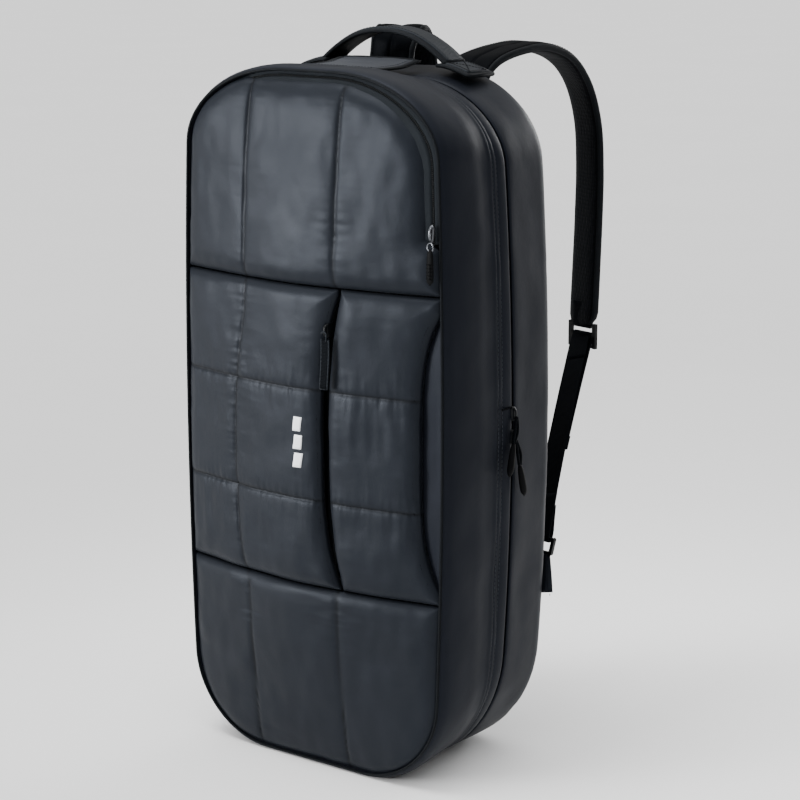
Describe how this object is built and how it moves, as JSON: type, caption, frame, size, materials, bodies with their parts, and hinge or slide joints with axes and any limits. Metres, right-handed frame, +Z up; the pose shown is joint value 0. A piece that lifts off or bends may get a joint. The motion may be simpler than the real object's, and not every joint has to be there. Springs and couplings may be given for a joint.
{
  "type": "racket backpack",
  "caption": "Tall padded racket backpack with a quilted front, a lidded front pocket, slit and open side pockets, a book-opening main zip, a top handle and two padded shoulder straps",
  "frame": {"origin": "the middle of the base, on the ground, which is 17 mm in front of the main zip's plane", "axes": "+X to the viewer's right when facing the quilted front, +Y from the front to the back panel and straps, +Z up"},
  "size_m": [0.3755, 0.4441, 0.7635],
  "materials": {
    "shell_nylon": "fine woven nylon with a soft sheen, quilted and puckered at its seams",
    "lining": "plain thin polyester lining",
    "air_mesh": "knitted spacer mesh",
    "strap_nylon": "fine woven nylon over foam",
    "webbing": "ribbed polyester webbing",
    "zip_tape": "woven zip tape with a nylon coil",
    "slider_metal": "gunmetal plate",
    "puller_rubber": "moulded soft rubber",
    "buckle_plastic": "moulded acetal",
    "board_plastic": "sheet polyethylene",
    "foam": "closed-cell foam",
    "mark_print": "flat print"
  },
  "bodies": {
    "root": {"rear_gusset": "shell_nylon", "back_panel": "shell_nylon", "back_foam": "foam", "back_board": "board_plastic", "back_lining": "lining", "rear_binding": "zip_tape", "back_pad_left": "air_mesh", "back_pad_right": "air_mesh", "lumbar_pad": "air_mesh", "shoulder_yoke": "shell_nylon", "racket_sleeve": "lining", "rear_zip_tape": "zip_tape", "left_side_hinge": "shell_nylon", "handle_patches": "webbing", "strap_left": "strap_nylon", "strap_right": "strap_nylon", "strap_mesh_left": "air_mesh", "strap_mesh_right": "air_mesh", "adjust_web_left": "webbing", "adjust_web_right": "webbing", "anchor_tab_left": "shell_nylon", "anchor_tab_right": "shell_nylon", "lock_loop_left": "webbing", "lock_loop_right": "webbing"},
    "front_half": {"front_gusset": "shell_nylon", "front_binding": "zip_tape", "front_lining": "lining", "upper_panel": "shell_nylon", "lower_panel": "shell_nylon", "middle_panel_left": "shell_nylon", "middle_panel_right": "shell_nylon", "front_mark": "mark_print", "front_zip_tape": "zip_tape", "zip_placket": "shell_nylon", "storm_flap": "shell_nylon", "pocket_bag": "lining", "pocket_zip_band": "zip_tape", "slit_zip_tape": "zip_tape", "slit_pocket_bag": "lining", "stash_pocket_bag": "lining", "stash_binding": "zip_tape"},
    "lid": {"pocket_lid": "shell_nylon", "lid_zip_tape": "zip_tape"},
    "handle": {"handle_loop": "webbing"},
    "lock_left": {"ladder_lock_left": "buckle_plastic", "web_tail_left": "webbing"},
    "lock_right": {"ladder_lock_right": "buckle_plastic", "web_tail_right": "webbing"},
    "ring_left": {"web_ring_left": "buckle_plastic", "ring_loop_left": "webbing"},
    "ring_right": {"web_ring_right": "buckle_plastic", "ring_loop_right": "webbing"},
    "main_slider_upper": {"main_slider_upper": "slider_metal"},
    "main_slider_lower": {"main_slider_lower": "slider_metal"},
    "main_pull_upper": {"main_pull_upper": "webbing"},
    "main_pull_lower": {"main_pull_lower": "webbing"},
    "pocket_slider": {"pocket_slider": "slider_metal"},
    "pocket_puller": {"pocket_puller": "puller_rubber"},
    "slit_slider": {"slit_slider": "slider_metal"},
    "slit_puller": {"slit_puller": "webbing"}
  },
  "joints": [
    {"name": "front_opening", "type": "hinge", "parent": "root", "child": "front_half", "pos_m": [-0.1855, 0.017, 0.365], "axis": [0, 0, -1], "range_deg": [0, 100]},
    {"name": "pocket_lid_fold", "type": "hinge", "parent": "front_half", "child": "lid", "pos_m": [0, -0.1016, 0.562], "axis": [1, 0, 0], "range_deg": [0, 100]},
    {"name": "handle_swing", "type": "hinge", "parent": "root", "child": "handle", "pos_m": [0, 0.059, 0.731], "axis": [1, 0, 0], "range_deg": [-20, 15]},
    {"name": "lock_tilt_left", "type": "hinge", "parent": "root", "child": "lock_left", "pos_m": [-0.079, 0.222, 0.428], "axis": [0.9781, 0.2079, 0], "range_deg": [0, 30]},
    {"name": "lock_tilt_right", "type": "hinge", "parent": "root", "child": "lock_right", "pos_m": [0.091, 0.288, 0.428], "axis": [0.9781, -0.2079, 0], "range_deg": [0, 30]},
    {"name": "ring_tilt_left", "type": "hinge", "parent": "root", "child": "ring_left", "pos_m": [-0.151, 0.121, 0.212], "axis": [0.9962, 0.0872, 0], "range_deg": [-15, 15]},
    {"name": "ring_tilt_right", "type": "hinge", "parent": "root", "child": "ring_right", "pos_m": [0.151, 0.121, 0.212], "axis": [0.9962, -0.0872, 0], "range_deg": [-15, 15]},
    {"name": "main_slide_upper", "type": "slide", "parent": "root", "child": "main_slider_upper", "axis": [-0.0325, 0, 0.9995], "range_m": [0, 0.165]},
    {"name": "main_slide_lower", "type": "slide", "parent": "root", "child": "main_slider_lower", "axis": [-0.0234, 0, -0.9997], "range_m": [0, 0.165]},
    {"name": "main_pull_swing_upper", "type": "hinge", "parent": "main_slider_upper", "child": "main_pull_upper", "pos_m": [0.19032, 0.017, 0.382], "axis": [0, -1, 0], "range_deg": [0, 150]},
    {"name": "main_pull_swing_lower", "type": "hinge", "parent": "main_slider_lower", "child": "main_pull_lower", "pos_m": [0.1904, 0.017, 0.358], "axis": [0, -1, 0], "range_deg": [0, 150]},
    {"name": "pocket_slide", "type": "slide", "parent": "front_half", "child": "pocket_slider", "axis": [-0.0401, 0.0041, 0.9992], "range_m": [0, 0.064]},
    {"name": "pocket_puller_swing", "type": "hinge", "parent": "pocket_slider", "child": "pocket_puller", "pos_m": [0.15944, -0.08943, 0.569], "axis": [-1, 0, 0], "range_deg": [0, 150]},
    {"name": "slit_slide", "type": "slide", "parent": "front_half", "child": "slit_slider", "axis": [0, 0, -1], "range_m": [0, 0.21]},
    {"name": "slit_puller_swing", "type": "hinge", "parent": "slit_slider", "child": "slit_puller", "pos_m": [0.04, -0.1066, 0.472], "axis": [-1, 0, 0], "range_deg": [0, 90]}
  ]
}
